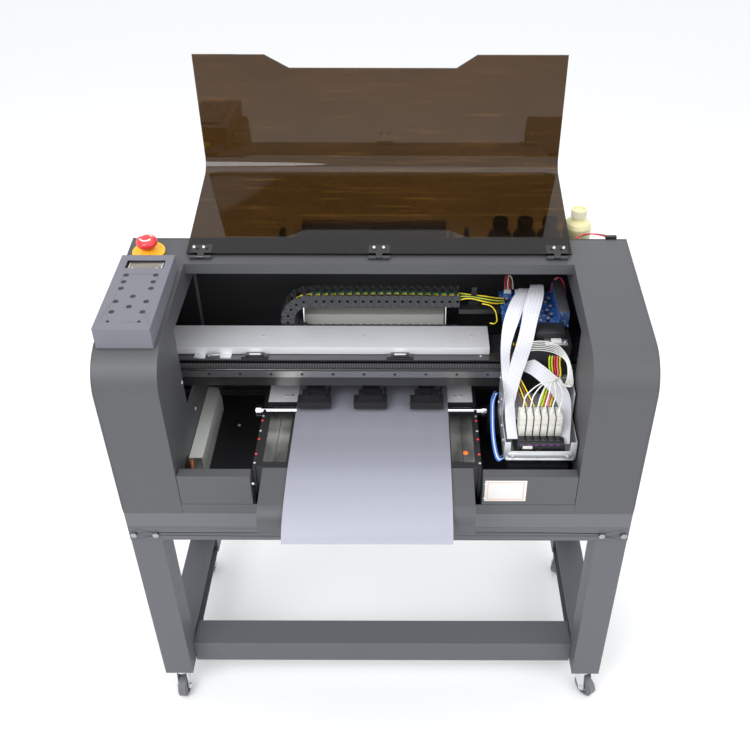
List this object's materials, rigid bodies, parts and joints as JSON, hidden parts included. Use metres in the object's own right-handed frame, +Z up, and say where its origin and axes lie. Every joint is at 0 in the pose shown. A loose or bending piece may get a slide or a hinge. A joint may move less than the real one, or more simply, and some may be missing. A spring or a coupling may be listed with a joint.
{
  "type": "roll film printer",
  "caption": "Roll-fed film printer on a castered stand, with a raised folding tinted lid, a gantry carriage, a keypad and a stop button.",
  "frame": {"origin": "on the floor under the middle of the printer's box", "axes": "+X to the right as seen from the front, +Y to the back, +Z up"},
  "size_m": [0.976, 0.7054, 1.2642],
  "materials": {
    "stand_grey": "fine textured powder coat, satin",
    "body_grey": "fine textured powder coat, satin",
    "white_panel": "smooth white, semi-gloss",
    "black_metal": "black satin",
    "black_plastic": "moulded, satin",
    "dark_plastic": "moulded, dull",
    "bright_steel": "bright zinc or stainless",
    "brushed_alu": "brushed along its length",
    "chrome": "ground and chromed",
    "rubber": "moulded rubber",
    "tyre": "grey thermoplastic rubber",
    "film": "frosted translucent film",
    "film_roll": "wound frosted film",
    "acrylic": "polished tinted acrylic",
    "pcb_blue": "solder mask on circuit board",
    "ribbon": "flat flexible cable jacket",
    "white_plastic": "translucent moulded plastic",
    "duct_grey": "grey PVC duct",
    "yellow_plastic": "moulded, semi-gloss",
    "red_plastic": "moulded, semi-gloss",
    "ink_bottle": "translucent blow-moulded plastic",
    "keypad_grey": "satin paint"
  },
  "bodies": {
    "root": {"stand_left_frame": "stand_grey", "stand_right_frame": "stand_grey", "stand_beams": "stand_grey", "stand_bolts": "bright_steel", "caster_stems": "bright_steel", "base_tray": "body_grey", "floor_pan": "black_metal", "front_panels": "body_grey", "left_cover": "body_grey", "right_cover": "body_grey", "end_covers": "white_panel", "rear_cover": "body_grey", "top_bridge": "body_grey", "platen_table": "black_metal", "platen_plates": "brushed_alu", "apron": "body_grey", "motors": "black_metal", "film": "film", "gantry_beam": "black_metal", "beam_cover": "brushed_alu", "beam_brackets": "black_metal", "linear_rail": "bright_steel", "drive_belt": "rubber", "chain_lower": "dark_plastic", "wire_ducts": "duct_grey", "hinge_leaves": "dark_plastic", "estop_collar": "yellow_plastic", "keypad_box": "keypad_grey", "roll_supports": "body_grey", "ink_bottles": "ink_bottle", "power_inlet": "black_plastic"},
    "fork_fl": {"caster_fork_fl": "bright_steel"},
    "wheel_fl": {"caster_wheel_fl": "tyre"},
    "fork_fr": {"caster_fork_fr": "bright_steel"},
    "wheel_fr": {"caster_wheel_fr": "tyre"},
    "fork_rl": {"caster_fork_rl": "bright_steel"},
    "wheel_rl": {"caster_wheel_rl": "tyre"},
    "fork_rr": {"caster_fork_rr": "bright_steel"},
    "wheel_rr": {"caster_wheel_rr": "tyre"},
    "feed": {"feed_roller": "chrome"},
    "pinch_lift": {"pinch_arms": "black_plastic"},
    "pinch_spin": {"pinch_rollers": "rubber"},
    "supply": {"supply_roll": "film_roll"},
    "carriage": {"carriage_frame": "black_metal", "bearing_block": "bright_steel", "carriage_box": "bright_steel", "print_heads": "dark_plastic", "dampers": "white_plastic", "head_board": "pcb_blue", "ribbon_cables": "ribbon", "chain_upper": "dark_plastic"},
    "chain_bend": {"chain_loop": "dark_plastic"},
    "drive_pulley": {"drive_pulley": "brushed_alu"},
    "idler_pulley": {"idler_pulley": "brushed_alu"},
    "cap_lift": {"cap_station": "black_plastic"},
    "lid": {"lid": "acrylic", "hinge_straps": "dark_plastic"},
    "estop": {"estop_button": "red_plastic"},
    "keys": {"keypad_buttons": "dark_plastic"},
    "rocker": {"rocker_switch": "black_plastic"}
  },
  "joints": [
    {"name": "swivel_fl", "type": "hinge", "parent": "root", "child": "fork_fl", "pos_m": [-0.45, -0.19775, 0.073], "axis": [0, 0, 1], "continuous": true},
    {"name": "roll_fl", "type": "hinge", "parent": "fork_fl", "child": "wheel_fl", "pos_m": [-0.45, -0.21375, 0.025], "axis": [1, 0, 0], "continuous": true},
    {"name": "swivel_fr", "type": "hinge", "parent": "root", "child": "fork_fr", "pos_m": [0.45, -0.19775, 0.073], "axis": [0, 0, 1], "continuous": true},
    {"name": "roll_fr", "type": "hinge", "parent": "fork_fr", "child": "wheel_fr", "pos_m": [0.45918, -0.21085, 0.025], "axis": [0.8192, 0.5736, 0], "continuous": true},
    {"name": "swivel_rl", "type": "hinge", "parent": "root", "child": "fork_rl", "pos_m": [-0.45, 0.15825, 0.073], "axis": [0, 0, 1], "continuous": true},
    {"name": "roll_rl", "type": "hinge", "parent": "fork_rl", "child": "wheel_rl", "pos_m": [-0.45139, 0.14231, 0.025], "axis": [0.9962, -0.0872, 0], "continuous": true},
    {"name": "swivel_rr", "type": "hinge", "parent": "root", "child": "fork_rr", "pos_m": [0.45, 0.15825, 0.073], "axis": [0, 0, 1], "continuous": true},
    {"name": "roll_rr", "type": "hinge", "parent": "fork_rr", "child": "wheel_rr", "pos_m": [0.442, 0.1444, 0.025], "axis": [0.866, -0.5, 0], "continuous": true},
    {"name": "feed_spin", "type": "hinge", "parent": "root", "child": "feed", "pos_m": [0, -0.03175, 0.6835], "axis": [1, 0, 0], "continuous": true},
    {"name": "pinch_lift", "type": "hinge", "parent": "root", "child": "pinch_lift", "pos_m": [0, 0.03325, 0.716], "axis": [-1, 0, 0], "range_deg": [0, 4], "stiffness_Nm_per_rad": 6, "springref_deg": -2.86},
    {"name": "pinch_spin", "type": "hinge", "parent": "pinch_lift", "child": "pinch_spin", "pos_m": [0, -0.03175, 0.702], "axis": [1, 0, 0], "continuous": true},
    {"name": "supply_spin", "type": "hinge", "parent": "root", "child": "supply", "pos_m": [0, 0.27325, 0.893], "axis": [1, 0, 0], "continuous": true},
    {"name": "carriage_slide", "type": "slide", "parent": "root", "child": "carriage", "axis": [-1, 0, 0], "range_m": [0, 0.52], "deforming": ["chain_upper", "chain_lower"]},
    {"name": "chain_slide", "type": "slide", "parent": "root", "child": "chain_bend", "axis": [-1, 0, 0], "range_m": [0, 0.26]},
    {"name": "drive_spin", "type": "hinge", "parent": "root", "child": "drive_pulley", "pos_m": [-0.442, -0.01575, 0.792], "axis": [0, 0, 1], "range_deg": [0, 2926]},
    {"name": "idler_spin", "type": "hinge", "parent": "root", "child": "idler_pulley", "pos_m": [0.442, -0.01575, 0.792], "axis": [0, 0, 1], "range_deg": [0, 2926]},
    {"name": "cap_lift", "type": "slide", "parent": "root", "child": "cap_lift", "axis": [0, 0, -1], "range_m": [0, 0.01]},
    {"name": "lid_hinge", "type": "hinge", "parent": "root", "child": "lid", "pos_m": [0, 0.07325, 0.975], "axis": [1, 0, 0], "range_deg": [0, 174.4]},
    {"name": "estop_press", "type": "slide", "parent": "root", "child": "estop", "axis": [0, 0.0941, -0.9956], "range_m": [0, 0.004], "stiffness_N_per_m": 2500, "springref_m": -0.001},
    {"name": "keys_press", "type": "slide", "parent": "root", "child": "keys", "axis": [0, 0.0497, -0.9988], "range_m": [0, 0.0015], "stiffness_N_per_m": 1500, "springref_m": -0.0005},
    {"name": "rocker_tilt", "type": "hinge", "parent": "root", "child": "rocker", "pos_m": [-0.4, 0.18725, 0.64], "axis": [-1, 0, 0], "range_deg": [0, 16]}
  ],
  "couplings": [
    {"joint": "pinch_spin", "follows": "feed_spin", "ratio": -0.88889},
    {"joint": "supply_spin", "follows": "feed_spin", "ratio": -0.17391},
    {"joint": "chain_slide", "follows": "carriage_slide", "ratio": 0.5},
    {"joint": "drive_spin", "follows": "carriage_slide", "rad_per_m": 98.039},
    {"joint": "idler_spin", "follows": "carriage_slide", "rad_per_m": 98.039}
  ]
}
